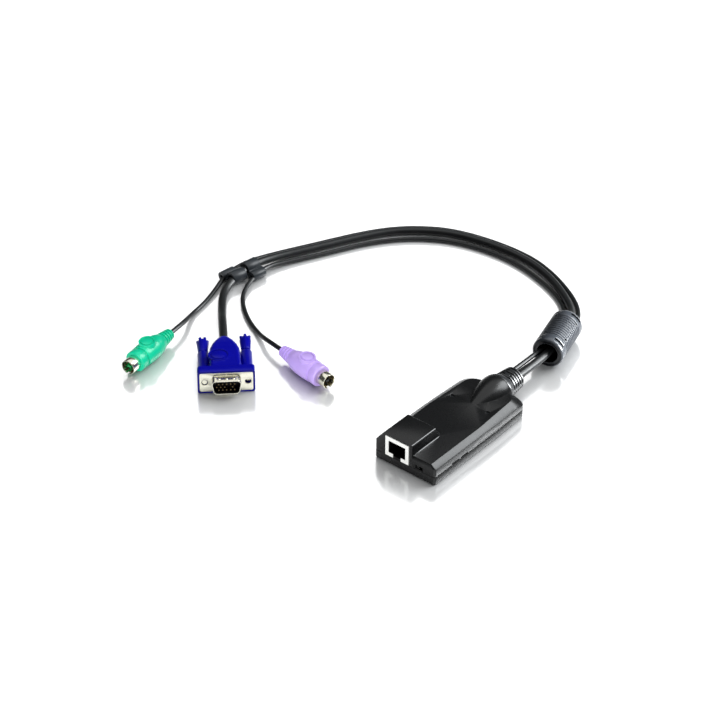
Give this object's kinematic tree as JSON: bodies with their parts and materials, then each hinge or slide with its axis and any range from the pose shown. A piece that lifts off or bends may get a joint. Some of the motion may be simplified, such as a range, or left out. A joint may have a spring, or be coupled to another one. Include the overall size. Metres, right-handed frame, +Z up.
{
  "type": "kvm dongle",
  "caption": "Keyboard, video and mouse dongle: flat housing with a network jack in a raised hump, and three joined cords ending in a 15-way D plug and two round mini-DIN plugs.",
  "frame": {"origin": "centre of the housing and its cord boot seen from above, on the surface they stand on", "axes": "+Z up, -Y out of the network jack, +Y along the cords as they leave the boot, +X to the right seen from the jack"},
  "size_m": [0.2285, 0.2519, 0.0204],
  "materials": {
    "housing": "fine grained black",
    "boot": "glossy black",
    "screw_steel": "dark plated",
    "plated_steel": "bright nickel plate",
    "black_plastic": "black",
    "gold_contact": "gold plated",
    "board": "green lacquer",
    "lamp": "clear",
    "light_pipe": "smoked clear",
    "white_plastic": "natural",
    "cord": "satin black",
    "choke_plastic": "satin dark grey",
    "ferrite": "sintered",
    "clip_plastic": "slate grey",
    "blue_plastic": "satin royal blue",
    "green_plastic": "satin turquoise green",
    "lilac_plastic": "satin lilac"
  },
  "bodies": {
    "root": {"upper_housing": "housing", "lower_housing": "housing", "cable_boot": "boot", "left_case_screw": "screw_steel", "right_case_screw": "screw_steel", "jack_shield": "plated_steel", "jack_insert": "black_plastic", "jack_contacts": "gold_contact", "circuit_board": "board", "status_lamps": "lamp", "left_light_pipe": "light_pipe", "right_light_pipe": "light_pipe", "switch_body": "black_plastic", "logic_chip": "black_plastic", "video_chip": "black_plastic", "crystal": "plated_steel", "video_header": "white_plastic", "peripheral_header": "white_plastic", "inner_leads": "cord", "video_cord": "cord", "mouse_cord": "cord", "keyboard_cord": "cord", "choke_cover": "choke_plastic", "choke_core": "ferrite", "keyboard_clip": "clip_plastic", "mouse_clip": "clip_plastic", "video_plug_hood": "blue_plastic", "video_plug_shell": "plated_steel", "video_plug_insulator": "black_plastic", "video_plug_pins": "gold_contact", "mouse_plug_grip": "green_plastic", "mouse_plug_shell": "plated_steel", "mouse_plug_insert": "black_plastic", "mouse_plug_pins": "gold_contact", "keyboard_plug_grip": "lilac_plastic", "keyboard_plug_shell": "plated_steel", "keyboard_plug_insert": "black_plastic", "keyboard_plug_pins": "gold_contact"},
    "left_ring": {"left_screw_ring": "blue_plastic"},
    "left_thumbscrew": {"left_screw": "plated_steel", "left_screw_knob": "blue_plastic"},
    "right_ring": {"right_screw_ring": "blue_plastic"},
    "right_thumbscrew": {"right_screw": "plated_steel", "right_screw_knob": "blue_plastic"},
    "switch_slider": {"switch_knob": "black_plastic"}
  },
  "joints": [
    {"name": "left_ring_slide", "type": "slide", "parent": "root", "child": "left_ring", "axis": [-0.6947, 0.7193, 0], "range_m": [-0.00045, 0.00295]},
    {"name": "left_thumbscrew_turn", "type": "hinge", "parent": "left_ring", "child": "left_thumbscrew", "pos_m": [-0.15364, -0.04579, 0.0075], "axis": [-0.6947, 0.7193, 0], "continuous": true},
    {"name": "right_ring_slide", "type": "slide", "parent": "root", "child": "right_ring", "axis": [-0.6947, 0.7193, 0], "range_m": [-0.00185, 0.00155]},
    {"name": "right_thumbscrew_turn", "type": "hinge", "parent": "right_ring", "child": "right_thumbscrew", "pos_m": [-0.13566, -0.02843, 0.0075], "axis": [-0.6947, 0.7193, 0], "continuous": true},
    {"name": "switch_slide", "type": "slide", "parent": "root", "child": "switch_slider", "axis": [1, 0, 0], "range_m": [0, 0.002]}
  ]
}
